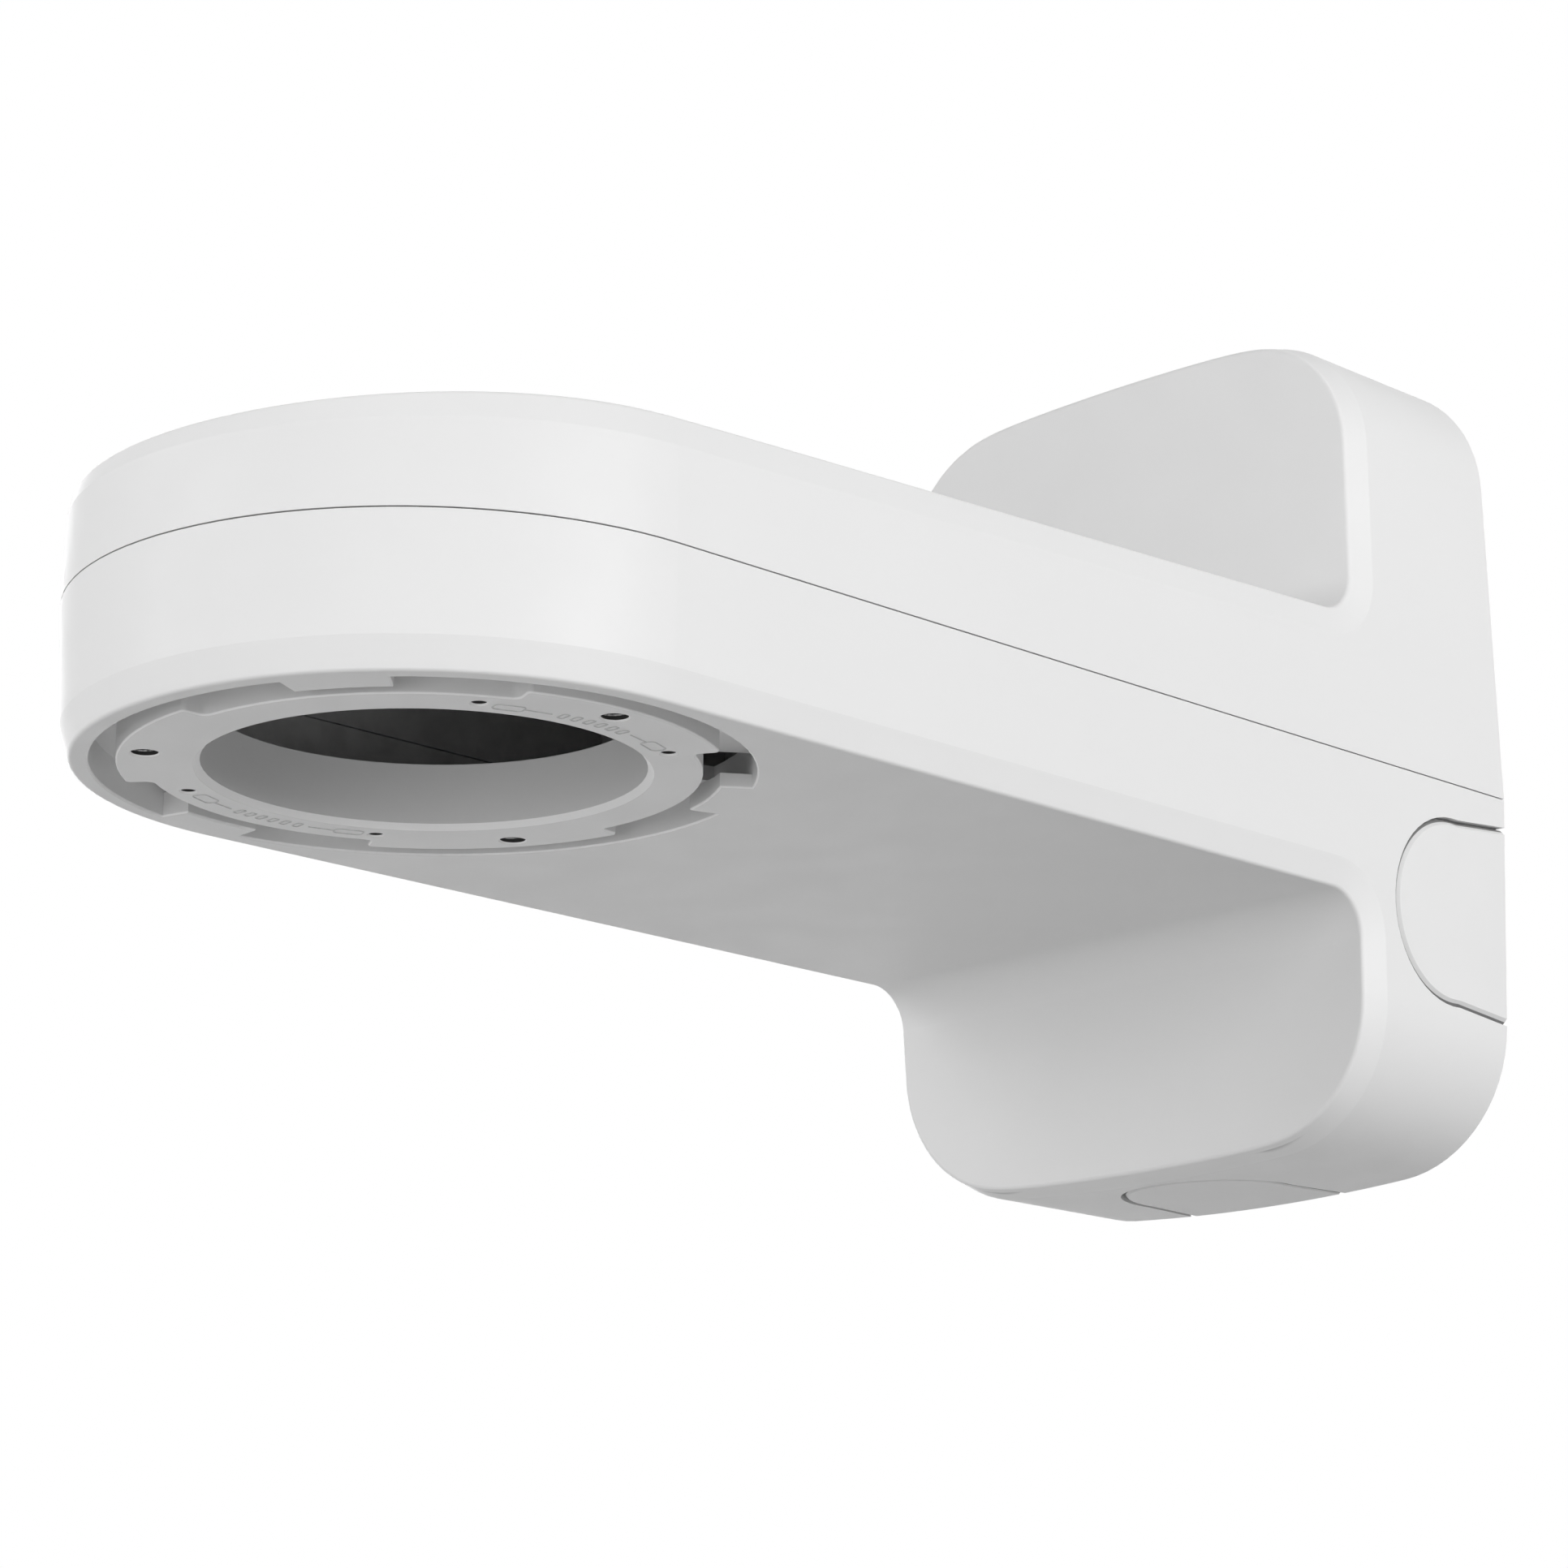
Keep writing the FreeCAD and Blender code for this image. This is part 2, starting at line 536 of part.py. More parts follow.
def make_arm_base():
    """Lower casting: trough, head, lower wall box and back plate in one piece."""
    base = dressed_body(-1).cut(half_body(-1, WALL, BASE_RIM_Z + OVER, OVER))
    bosses = [tube(SCREW_BOSS_R, FLOOR_Z - OVER, BASE_RIM_Z, x, y) for x, y in closing_places()]
    bosses += [tube(PIN_BOSS_R, FLOOR_Z - OVER, BASE_RIM_Z, x, y) for x, y in pin_places()]
    web_x = width_at(FLOOR_Z, WALL, -1) + OVER
    webs = [block(x, web_x, y - WEB_T / 2, y + WEB_T / 2, FLOOR_Z - OVER, BASE_RIM_Z)
            for x, y in CLOSING_XY[1:] + (PIN_XY,)]
    webs += [mirrored(w) for w in webs]
    top = FLOOR_Z + FITTING_BOSS_H
    fittings = [tube(FITTING_BOSS_R, FLOOR_Z - OVER, top, x, y) for x, y in fitting_places()]
    base = base.fuse(bosses + webs + fittings)
    base = add_head(base)
    base = add_back_plate(base)
    cuts = [tube(M5_TAP_R, BASE_RIM_Z - M5_TAP_DEPTH, SEAM_Z + OVER, x, y) for x, y in closing_places()]
    cuts += [tube(PIN_R, SEAM_Z - PIN_LENGTH / 2, SEAM_Z + OVER, x, y) for x, y in pin_places()]
    cuts += [tube(M4_TAP_R, top - M4_TAP_DEPTH, top + OVER, x, y) for x, y in fitting_places()]
    groove = seal_path_face(COVER_RIM_Z - SEAL_HEIGHT, SEAL_WIDTH + 2 * SEAL_CLEAR)
    cuts.append(groove.extrude(V(0, 0, SEAL_HEIGHT + OVER)))
    for place in ("right", "left", "bottom"):
        cuts += entry_cuts(place)
    return one(base.cut(cuts))


def hook_lug():
    """Lug of the cover that drops behind the back plate's top edge."""
    lug_top = SEAM_Z + BOX_RISE - WALL + OVER
    plate_top = SEAM_Z + BOX_RISE - WALL - PLATE_CLEAR
    y_front = -(PLATE_BACK - PLUG_FIT)
    return block(HOOK_LUG_X - HOOK_LUG_W / 2, HOOK_LUG_X + HOOK_LUG_W / 2,
                 y_front, y_front + HOOK_LUG_T, plate_top - HOOK_LUG_OVERLAP, lug_top)


def make_top_cover():
    """Upper casting: roof of the arm and upper wall box."""
    cover = dressed_body(1).cut(half_body(1, WALL, COVER_RIM_Z - OVER, OVER))
    seat = SEAM_Z + CLOSING_SEAT
    room_r = M5_HEAD_R + HEAD_CLEAR
    towers = []
    cuts = []
    for x, y in closing_places():
        towers.append(tube(TOWER_R, COVER_RIM_Z, roof_at(y, WALL) + OVER, x, y))
        cuts.append(tube(M5_CLEAR_R, COVER_RIM_Z - OVER, seat + OVER, x, y))
        cuts.append(tube(room_r, seat, BIG, x, y))
    for x, y in pin_places():
        towers.append(tube(PIN_BOSS_R, COVER_RIM_Z, roof_at(y, WALL) + OVER, x, y))
        cuts.append(tube(PIN_R, COVER_RIM_Z - OVER, SEAM_Z + PIN_LENGTH / 2, x, y))
    webs = []
    for x, y in CLOSING_XY[1:] + (PIN_XY,):
        roof = roof_at(y, WALL)
        web_x = width_at(roof, WALL, 1) + OVER
        webs.append(block(x, web_x, y - WEB_T / 2, y + WEB_T / 2, COVER_RIM_Z, roof + OVER))
    webs += [mirrored(w) for w in webs]
    return one(cover.fuse(towers + webs + both_sides(hook_lug())).cut(cuts))


def make_seam_seal():
    """Rubber cord in the base's rim, up to the cover."""
    band = seal_path_face(COVER_RIM_Z - SEAL_HEIGHT, SEAL_WIDTH)
    return one(band.extrude(V(0, 0, SEAL_HEIGHT)))


def hex_prism(across, height, x, y, z):
    radius = across / 2 / cos(radians(30))
    corners = [V(x + radius * cos(radians(60 * i)), y + radius * sin(radians(60 * i)), z) for i in range(6)]
    return polygon_face(corners).extrude(V(0, 0, height))


def cap_screw(x, y, seat, tap_r, length, head_r, head_h, socket):
    """Round-headed screw with a hexagon socket, pointing down from its seat."""
    tip = seat - length
    shank = tube(tap_r - THREAD_FIT, tip, seat + head_h / 4, x, y)
    shank = shank.makeChamfer(tap_r / 4, [e for e in shank.Edges if e.BoundBox.ZMax < tip + TOUCH])
    head = tube(head_r, seat, seat + head_h, x, y)
    head = head.makeFillet(head_h / 6, [e for e in head.Edges if e.BoundBox.ZMin > seat + head_h - TOUCH])
    return one(shank.fuse(head).cut(hex_prism(socket, head_h, x, y, seat + head_h / 2)))


def make_cover_screws():
    seat = SEAM_Z + CLOSING_SEAT + WASHER_T
    return [cap_screw(x, y, seat, M5_TAP_R, M5_LENGTH, M5_HEAD_R, M5_HEAD_H, M5_SOCKET)
            for x, y in closing_places()]


def make_cover_screw_washers():
    seat = SEAM_Z + CLOSING_SEAT
    washers = []
    for x, y in closing_places():
        bore = tube(M5_TAP_R + WASHER_BORE_CLEAR, seat - OVER, seat + WASHER_T + OVER, x, y)
        washers.append(tube(M5_HEAD_R, seat, seat + WASHER_T, x, y).cut(bore))
    return washers


def make_screw_hole_plugs():
    """Rubber plugs, trimmed to the sloping top face."""
    plugs = []
    for x, y in closing_places():
        bottom = roof_at(y, 0) - PLUG_TOP_T
        plug = tube(M5_HEAD_R + HEAD_CLEAR - PLUG_TOP_FIT, bottom, bottom + 2 * PLUG_TOP_T, x, y)
        plugs.append(one(plug.cut([above_line(0), above_arc(0)])))
    return plugs


def make_locating_pins():
    pins = []
    half = PIN_LENGTH / 2 - PIN_SHORT
    for x, y in pin_places():
        pin = tube(PIN_R - THREAD_FIT, SEAM_Z - half, SEAM_Z + half, x, y)
        pins.append(pin.makeChamfer(PIN_R / 5, [e for e in pin.Edges if e.BoundBox.ZLength < TOUCH]))
    return pins


def make_wall_gasket():
    """Foam frame behind the back plate."""
    low = SEAM_Z - PLATE_FOOT
    outer = plate_slab(WALL + PLATE_CLEAR + GASKET_EDGE, 0, PLATE_BACK, low)
    inner = plate_slab(WALL + PLATE_CLEAR + GASKET_EDGE + GASKET_W, -OVER, PLATE_BACK + OVER, low + GASKET_W)
    room = [along_y(PAD_R + GASKET_EDGE / 2, -PLATE_BACK - OVER, OVER, x, z) for x, z in wall_hole_places()]
    for lug in both_sides(hook_lug()):
        box = lug.BoundBox
        room.append(block(box.XMin - GASKET_EDGE, box.XMax + GASKET_EDGE, -PLATE_BACK - OVER, OVER,
                          box.ZMin - GASKET_EDGE, BIG))
    return one(outer.cut([inner] + room))


def make_cable_grommet():
    """Rubber grommet in the plate's cable hole, closed by a membrane."""
    front = -PLATE_FRONT - GROMMET_LIP
    back = -PLATE_BACK + GROMMET_LIP
    body = along_y(CABLE_HOLE_R - GROMMET_FIT, front, back, 0, 0)
    front_lip = along_y(CABLE_HOLE_R + GROMMET_FLANGE, front, -PLATE_FRONT, 0, 0)
    back_lip = along_y(CABLE_HOLE_R + GROMMET_FLANGE, -PLATE_BACK, back, 0, 0)
    hollow = along_y(CABLE_HOLE_R - GROMMET_FLANGE, front + MEMBRANE_T, OVER, 0, 0)
    return one(body.fuse([front_lip, back_lip]).cut(hollow))


def hook_boxes(place):
    """Where the three snap hooks of a plug stand: at the nose and beside it."""
    half = HOOK_WIDTH / 2
    reach = 2 * ENTRY_R
    across = block(-half, half, -ENTRY_FROM_WALL - reach, -ENTRY_FROM_WALL, -BIG, BIG)
    beside = block(-reach, reach, -ENTRY_FROM_WALL - half, -ENTRY_FROM_WALL + half, -BIG, BIG)
    boxes = across.fuse(beside)
    if place != "bottom":
        boxes.rotate(V(0, 0, 0), V(0, 1, 0), 90)
        boxes.translate(V(0, 0, SEAM_Z - ENTRY_DROP))
    return boxes


def make_conduit_cover(place):
    """Snap-in plug: a plate flush with the casting, a collar through the hole, and hooks behind it."""
    plate = entry_prism(place, -PLUG_GAP).common(wall_layer(0, PLUG_PLATE))
    outside = half_body(-1).Shells[0]
    rim = []
    for edge in plate.Edges:
        middle = Part.Vertex(edge.valueAt((edge.FirstParameter + edge.LastParameter) / 2))
        at_wall = edge.BoundBox.YLength < TOUCH and edge.BoundBox.YMax > -TOUCH
        if not at_wall and outside.distToShape(middle)[0] < TOUCH:
            rim.append(edge)
    plate = plate.makeChamfer(PLUG_BEVEL, rim)
    snug = -LEDGE - PLUG_FIT
    reach = WALL + PLUG_FIT + HOOK
    sleeve = entry_prism(place, snug).cut(entry_prism(place, snug - PLUG_RIM))
    collar = sleeve.common(wall_layer(PLUG_PLATE - PLUG_EMBED, reach))
    catch = entry_prism(place, -PLUG_FIT).cut(entry_prism(place, snug - PLUG_RIM / 2))
    hooks = catch.common(wall_layer(WALL + PLUG_FIT, reach)).common(hook_boxes(place))
    return one(plate.fuse([collar, hooks]))


def make_conduit_seal(place):
    """Flat gasket on the step, under the plug's plate."""
    band = entry_prism(place, -PLUG_GAP).cut(entry_prism(place, -LEDGE - PLUG_FIT))
    return one(band.common(wall_layer(PLUG_PLATE, LEDGE_DEPTH)))


def fitting_seat():
    return FLOOR_Z + FITTING_BOSS_H


def make_safety_wire_anchor():
    """Bent steel plate with an eye for the camera's safety wire."""
    x, y = ANCHOR_XY
    z = fitting_seat()
    foot_reach = M4_HEAD_R + ANCHOR_MARGIN
    x0, x1 = x - ANCHOR_W / 2, x + ANCHOR_W / 2
    foot = block(x0, x1, y - foot_reach, y + foot_reach, z, z + ANCHOR_T)
    upright = block(x0, x1, y - foot_reach - ANCHOR_T, y - foot_reach, z, z + ANCHOR_H)
    plate = foot.fuse(upright).removeSplitter()
    eye_z = z + ANCHOR_H - ANCHOR_EYE_R - ANCHOR_MARGIN
    plate = plate.cut([along_y(ANCHOR_EYE_R, y - foot_reach - 2 * ANCHOR_T, y - foot_reach + OVER, x, eye_z),
                       tube(M4_CLEAR_R, z - OVER, z + ANCHOR_T + OVER, x, y)])
    bend = [e for e in plate.Edges
            if e.BoundBox.XLength > ANCHOR_W - TOUCH and e.BoundBox.ZMax < z + TOUCH
            and e.BoundBox.YMax < y - foot_reach - ANCHOR_T + TOUCH]
    return one(plate.makeFillet(ANCHOR_T * 0.9, bend))


def fitting_screw(place, stack):
    """Short screw with its head on the parts stacked on the boss."""
    x, y = place
    return cap_screw(x, y, fitting_seat() + stack, M4_TAP_R, M4_LENGTH, M4_HEAD_R, M4_HEAD_H, M4_SOCKET)


def make_earth_washer():
    """Toothed lock washer."""
    x, y = EARTH_XY
    z = fitting_seat()
    ring = tube(TOOTH_WASHER_R, z, z + TOOTH_WASHER_T, x, y)
    notch_r = TOOTH_WASHER_R * sin(radians(180.0 / TOOTH_COUNT)) / 2
    notches = []
    for i in range(TOOTH_COUNT):
        a = radians(i * 360.0 / TOOTH_COUNT)
        notches.append(tube(notch_r, z - OVER, z + TOOTH_WASHER_T + OVER,
                            x + TOOTH_WASHER_R * cos(a), y + TOOTH_WASHER_R * sin(a)))
    return one(ring.cut(notches + [tube(M4_CLEAR_R, z - OVER, z + TOOTH_WASHER_T + OVER, x, y)]))


def make_cable_clamp():
    """P-shaped strap: a foot under the screw and a loop for the cable beside it."""
    x, y = CLAMP_XY
    z = fitting_seat()
    r_in = CLAMP_CABLE_R
    r_out = r_in + CLAMP_T
    loop_x = x - M4_HEAD_R - CLAMP_GAP - r_out
    foot = block(loop_x, x + M4_HEAD_R + CLAMP_TOE, y - CLAMP_W / 2, y + CLAMP_W / 2, z, z + CLAMP_T)
    ring = along_y(r_out, y - CLAMP_W / 2, y + CLAMP_W / 2, loop_x, z + r_out)
    hollow = along_y(r_in, y - CLAMP_W, y + CLAMP_W, loop_x, z + r_out)
    return one(foot.fuse(ring).cut([hollow, tube(M4_CLEAR_R, z - OVER, z + CLAMP_T + OVER, x, y)]))


pieces = {
    "arm_base": make_arm_base(),
    "top_cover": make_top_cover(),
    "seam_seal": make_seam_seal(),
    "cover_screws": Part.makeCompound(make_cover_screws()),
    "cover_screw_washers": Part.makeCompound(make_cover_screw_washers()),
    "screw_hole_plugs": Part.makeCompound(make_screw_hole_plugs()),
    "locating_pins": Part.makeCompound(make_locating_pins()),
    "wall_gasket": make_wall_gasket(),
    "cable_grommet": make_cable_grommet(),
    "safety_wire_anchor": make_safety_wire_anchor(),
    "anchor_screw": fitting_screw(ANCHOR_XY, ANCHOR_T),
    "earth_washer": make_earth_washer(),
    "earth_screw": fitting_screw(EARTH_XY, TOOTH_WASHER_T),
    "cable_clamp": make_cable_clamp(),
    "cable_clamp_screw": fitting_screw(CLAMP_XY, CLAMP_T),
}
for side in ("right", "left", "bottom"):
    pieces["conduit_cover_" + side] = make_conduit_cover(side)
    pieces["conduit_seal_" + side] = make_conduit_seal(side)

os.makedirs("parts", exist_ok=True)
for name, shape in pieces.items():
    shape.exportStep("parts/%s.step" % name)
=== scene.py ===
import math

import bpy
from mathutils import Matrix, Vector


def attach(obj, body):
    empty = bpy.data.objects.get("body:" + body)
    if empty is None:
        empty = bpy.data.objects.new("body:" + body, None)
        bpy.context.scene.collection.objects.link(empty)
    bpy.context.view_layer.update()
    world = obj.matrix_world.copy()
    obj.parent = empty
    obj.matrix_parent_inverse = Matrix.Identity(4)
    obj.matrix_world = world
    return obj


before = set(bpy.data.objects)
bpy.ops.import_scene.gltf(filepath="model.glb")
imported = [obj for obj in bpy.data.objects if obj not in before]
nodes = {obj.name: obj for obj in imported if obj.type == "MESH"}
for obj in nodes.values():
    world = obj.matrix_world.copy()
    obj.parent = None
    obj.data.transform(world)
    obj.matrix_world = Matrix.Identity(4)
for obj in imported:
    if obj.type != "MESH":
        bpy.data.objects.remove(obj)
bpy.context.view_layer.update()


# Both castings: die-cast aluminium, shot-blasted and then powder-coated in satin white.
# The coat has a faint orange peel. It reaches into the bore and the bayonet channel, but not into the
# hollow arm and box, where the casting stays raw; that grey is partly the bare metal's own and partly
# painted shade of the hollow. The walls of the tapped holes and the gap of the seam are painted near-black
# as painted shade.
class Value:
    """A socket that can be used in sums. Each sum adds its Math nodes to the socket's tree."""

    def __init__(self, tree, socket):
        self.tree = tree
        self.socket = socket

    def math(self, operation, *others, clamp=False):
        inputs = dict(enumerate((self,) + others))
        return self.tree.node("ShaderNodeMath", {"operation": operation, "use_clamp": clamp}, inputs)

    def __add__(self, other):
        return self.math("ADD", other)

    def __sub__(self, other):
        return self.math("SUBTRACT", other)

    def __rsub__(self, other):
        return (self * -1.0) + other

    def __mul__(self, other):
        return self.math("MULTIPLY", other)

    __radd__ = __add__
    __rmul__ = __mul__

    def __abs__(self):
        return self.math("ABSOLUTE")

    def at_least(self, other):
        return self.math("MAXIMUM", other)

    def at_most(self, other):
        return self.math("MINIMUM", other)

    def ramp(self, low, high, start=0.0, end=1.0):
        """Smooth step from start at low to end at high."""
        settings = {"interpolation_type": "SMOOTHSTEP"}
        inputs = {"Value": self, "From Min": low, "From Max": high, "To Min": start, "To Max": end}
        return self.tree.node("ShaderNodeMapRange", settings, inputs)


def distance(across, along):
    return (across * across + along * along).math("SQRT")


class Tree:
    """A node tree that nodes are added to with their settings and links."""

    def __init__(self, tree):
        self.nodes = tree.nodes
        self.links = tree.links

    def node(self, kind, settings=None, inputs=None, output=0):
        """Adds a node: its settings first, then the numbers, colours or links of its inputs."""
        new = self.nodes.new(kind)
        for key, setting in (settings or {}).items():
            setattr(new, key, setting)
        for key, source in (inputs or {}).items():
            self.feed(new.inputs[key], source)
        return Value(self, new.outputs[output])

    def feed(self, socket, source):
        if isinstance(source, Value):
            self.links.new(source.socket, socket)
        else:
            socket.default_value = source

    def parts(self, vector):
        """The three numbers of a vector."""
        return [self.node("ShaderNodeSeparateXYZ", inputs={"Vector": vector}, output=i) for i in range(3)]


class Material(Tree):
    """A new node material, with its Principled shader and its Object coordinates at hand."""

    def __init__(self, name):
        self.material = bpy.data.materials.new(name)
        self.material.use_nodes = True
        super().__init__(self.material.node_tree)
        self.shader = self.nodes["Principled BSDF"]
        self.place = self.node("ShaderNodeTexCoord", output="Object")

    def shade(self, **inputs):
        """Sets the Principled shader's own sockets, named with _ for a space."""
        for key, source in inputs.items():
            self.feed(self.shader.inputs[key.replace("_", " ")], source)

    def noise(self, size, detail=2.0, place=None):
        """Noise from 0 to 1, with features about as wide as size, in metres."""
        inputs = {"Vector": place or self.place, "Scale": 1.0 / size, "Detail": detail}
        return self.node("ShaderNodeTexNoise", inputs=inputs)

    def stretched(self, x, y, z):
        """Object coordinates scaled on each axis, for grain that runs one way."""
        return self.node("ShaderNodeMapping", inputs={"Vector": self.place, "Scale": (x, y, z)})

    def blend(self, factor, first, second):
        """Colour between first and second."""
        inputs = {0: factor, 6: first, 7: second}
        return self.node("ShaderNodeMix", {"data_type": "RGBA"}, inputs, output=2)

    def bump(self, height, depth, strength=1.0):
        return self.node("ShaderNodeBump", inputs={"Height": height, "Distance": depth, "Strength": strength})


def grey(level):
    return (level, level, level, 1.0)


def coat(material, *names):
    """Gives CAD nodes their material."""
    for name in names:
        nodes[name].data.materials.clear()
        nodes[name].data.materials.append(material)


half_width, box_drop, box_rise, box_depth = 0.0682, 0.0807, 0.1018, 0.0497
seam_z, underside_z, head_y = -0.041, -0.06995, -0.2468
wall_lean, roof_slope, roof_height = math.tan(math.radians(2.0)), math.tan(math.radians(2.08)), 0.02475
bend_y, bend_radius, box_corner = head_y + 0.020, 1.55, 0.0305
coat_reach, coat_edge, seam_shade_start, seam_shade_end = 0.0020, 0.0002, 0.0004, 0.0026
channel_coat_r, channel_coat_rise, bore_coat_r, bore_coat_rise = 0.0640, 0.0101, 0.0425, 0.0131
camera_circle, camera_hole_r, adapter_x, adapter_y, adapter_hole_r = 0.052, 0.00256, 0.04167, 0.02302, 0.00145
hole_depth, mouth_depth = 0.0122, 0.0003
camera_holes = [(camera_circle * math.cos(turn), head_y + camera_circle * math.sin(turn), underside_z)
                for turn in (0.0, math.radians(120.0), math.radians(240.0))]
adapter_holes = [(side * adapter_x, head_y + end * adapter_y, underside_z) for side in (1, -1) for end in (1, -1)]


def under_box_face(x, y, z):
    """Depth of a place under the outer face of the wall box."""
    from_seam = abs(z - seam_z)
    beyond_x = abs(x) - half_width + from_seam * wall_lean + box_corner
    beyond_z = abs(z - (seam_z + (box_rise - box_drop) / 2)) - ((box_rise + box_drop) / 2 - box_corner)
    rounded = distance(beyond_x.at_least(0.0), beyond_z.at_least(0.0)) + beyond_x.at_least(beyond_z).at_most(0.0)
    return (box_corner - rounded).at_most(y + box_depth - from_seam * wall_lean)


paint = Material("satin_white_powder_coat")
x, y, z = paint.parts(paint.place)
width = half_width - abs(z - seam_z) * wall_lean
past_head = (head_y - y).at_least(0.0)
past_bend = (bend_y - y).at_least(0.0)
roof = (y - head_y) * roof_slope - past_bend * past_bend * (0.5 / bend_radius) + (seam_z + roof_height)
arm_depth = (width - distance(x, past_head)).at_most(z - underside_z).at_most(roof - z)
depth = arm_depth.at_least(under_box_face(x, y, z))
from_axis = distance(x, y - head_y)
above = z - underside_z
head_coated = (channel_coat_r - from_axis).at_most(channel_coat_rise - above)
bore_coated = (bore_coat_r - from_axis).at_most(bore_coat_rise - above)
# Bare casting inside the hollow arm and box, in a grey that is partly the metal's own and partly painted shade.
bare_inside_and_shade = depth.ramp(coat_reach - coat_edge, coat_reach + coat_edge)
bare_inside_and_shade = bare_inside_and_shade * (1 - head_coated.at_least(bore_coated).ramp(-coat_edge, coat_edge))
# Painted shade: the gap of the seam, below its outer edge, is painted near-black.
in_seam = (0.0004 - abs(z - seam_z)).ramp(0.0, 0.0001) * depth.ramp(seam_shade_start, seam_shade_start + 2 * coat_edge)
seam_painted_shade = in_seam * (1 - depth.ramp(seam_shade_end, seam_shade_end + coat_edge))
into_hole = adapter_hole_r - distance(abs(x) - adapter_x, abs(y - head_y) - adapter_y)
for hole_x, hole_y, _ in camera_holes:
    into_hole = into_hole.at_least(camera_hole_r - distance(x - hole_x, y - hole_y))
in_hole = into_hole.at_most(above - mouth_depth).at_most(hole_depth - above)
# Painted shade: the walls of the tapped holes and the seam gap take a near-black colour.
hole_and_seam_painted_shade = in_hole.ramp(0.0, 0.00004).at_least(seam_painted_shade)
# Painted highlight: the small rounds on the edges of the lugs and collar, and the bore's chamfer, are painted
# near-white.
bore_edge = (0.00122 - above).at_most(0.0429 - from_axis)
lip_painted_highlight = (0.00042 - above).at_least(bore_edge).ramp(0.0, 0.00004) * above.ramp(0.00002, 0.00006)
lip_painted_highlight = lip_painted_highlight * (0.0625 - from_axis).ramp(0.0, 0.0001)
tone = paint.noise(0.09).ramp(0.3, 0.7)
cast_skin = paint.noise(0.006, detail=5.0).ramp(0.3, 0.7)
coat_colour_with_highlight = paint.blend(lip_painted_highlight, paint.blend(tone, grey(0.795), grey(0.810)), grey(0.97))
bare_grey_and_shade_colour = paint.blend(hole_and_seam_painted_shade, paint.blend(cast_skin, grey(0.52), grey(0.60)), grey(0.04))
peel = paint.noise(0.0016, detail=1.0)
skin_height = peel * (1 - bare_inside_and_shade) + cast_skin * bare_inside_and_shade * 4.0
paint.shade(Base_Color=paint.blend(bare_inside_and_shade.at_least(hole_and_seam_painted_shade), coat_colour_with_highlight, bare_grey_and_shade_colour), Specular_IOR_Level=0.35,
            Roughness=paint.noise(0.012).ramp(0.3, 0.7, 0.44, 0.52) + bare_inside_and_shade * 0.12,
            Normal=paint.bump(skin_height, 0.000012))
coat(paint.material, "arm_base", "top_cover")


# Threads tapped into the castings: M5 in the three lugs, and a finer one in the four adapter holes.
# Each is a helical ridge of bare aluminium, cut after the coat was baked. Its dark grey is partly the
# metal's own and partly painted shade of the deep holes.
class Growth(Tree):
    """A Geometry Nodes tree with named sizes, which grows a repeated shape on the points it is given."""

    def __init__(self, name, **sizes):
        self.group = bpy.data.node_groups.new(name, "GeometryNodeTree")
        super().__init__(self.group)
        self.sizes = sizes
        self.keys = {}
        self.group.interface.new_socket("Geometry", in_out="INPUT", socket_type="NodeSocketGeometry")
        for size, number in sizes.items():
            kind = "NodeSocketInt" if isinstance(number, int) else "NodeSocketFloat"
            self.keys[size] = self.group.interface.new_socket(size, in_out="INPUT", socket_type=kind).identifier
        self.group.interface.new_socket("Geometry", in_out="OUTPUT", socket_type="NodeSocketGeometry")
        self.entry = self.nodes.new("NodeGroupInput")

    def size(self, name):
        return Value(self, self.entry.outputs[name])

    def beads(self, curve, radius, sides, caps=False):
        """A round bead along a curve."""
        profile = self.node("GeometryNodeCurvePrimitiveCircle", inputs={"Resolution": sides, "Radius": radius})
        return self.node("GeometryNodeCurveToMesh", inputs={"Curve": curve, "Profile Curve": profile,
                                                            "Fill Caps": caps})

    def close(self, shape, material):
        real = self.node("GeometryNodeRealizeInstances", inputs={"Geometry": shape})
        done = self.node("GeometryNodeSetMaterial", inputs={"Geometry": real, "Material": material})
        self.feed(self.nodes.new("NodeGroupOutput").inputs[0], done)

    def grow(self, name, slot, points, **sizes):
        """A plain mesh piece grown on points. Sizes that aren't given keep the tree's own."""
        seed = bpy.data.meshes.new(name)
        seed.from_pydata(points, [], [])
        piece = bpy.data.objects.new(name, seed)
        bpy.context.scene.collection.objects.link(piece)
        modifier = piece.modifiers.new("growth", "NODES")
        modifier.node_group = self.group
        for size, number in {**self.sizes, **sizes}.items():
            modifier[self.keys[size]] = number
        grown = piece.evaluated_get(bpy.context.evaluated_depsgraph_get())
        mesh = bpy.data.meshes.new_from_object(grown)
        mesh.shade_smooth()
        piece.modifiers.clear()
        piece.data = mesh
        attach(piece, "root")
        return piece


# Dark grey threads: partly the bare metal's own colour, partly painted shade of the deep holes.
bare = Material("threaded_aluminium_and_shade")
bare.shade(Base_Color=bare.blend(bare.noise(0.0007).ramp(0.35, 0.65), grey(0.10), grey(0.34)), Metallic=0.6,
           Roughness=bare.noise(0.0004).ramp(0.3, 0.7, 0.30, 0.55))

